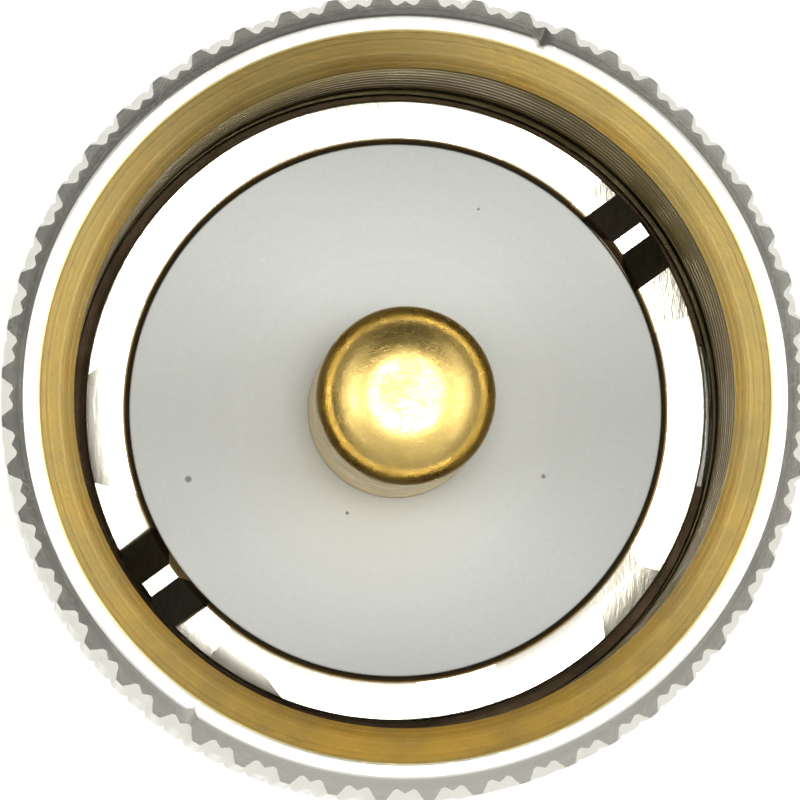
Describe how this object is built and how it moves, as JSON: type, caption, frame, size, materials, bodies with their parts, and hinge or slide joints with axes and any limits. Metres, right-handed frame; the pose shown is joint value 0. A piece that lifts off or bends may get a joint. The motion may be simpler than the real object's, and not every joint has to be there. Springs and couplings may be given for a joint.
{
  "type": "coaxial cable plug",
  "caption": "Screw-on coaxial cable plug with knurled coupling nut, toothed mating ring, white insulator and gilt centre pin, closed by a clamp nut for the cable.",
  "frame": {"origin": "centre of the clamp nut's rear face, which the plug stands on", "axes": "+Z along the plug's axis towards the mating side; +X is the picture's right and +Y its top"},
  "size_m": [0.018, 0.018, 0.038],
  "materials": {
    "nickel_plate": "satin",
    "gold_plate": "satin",
    "white_fluoropolymer": "satin",
    "spring_bronze": "satin",
    "bare_brass": "satin",
    "black_rubber": "matte"
  },
  "bodies": {
    "plug": {"body": "nickel_plate", "centre_contact": "gold_plate", "front_insulator": "white_fluoropolymer", "rear_insulator": "white_fluoropolymer", "braid_clamp": "bare_brass", "gasket": "black_rubber", "washer": "bare_brass", "clamp_nut": "nickel_plate"},
    "retainer": {"snap_ring": "spring_bronze"},
    "nut": {"coupling_nut": "nickel_plate"}
  },
  "joints": [
    {"name": "nut_play", "type": "slide", "parent": "plug", "child": "retainer", "axis": [0, 0, 1], "range_m": [0, 0.0008]},
    {"name": "nut_turn", "type": "hinge", "parent": "retainer", "child": "nut", "pos_m": [0, 0, 0.02281], "axis": [0, 0, 1], "continuous": true}
  ]
}
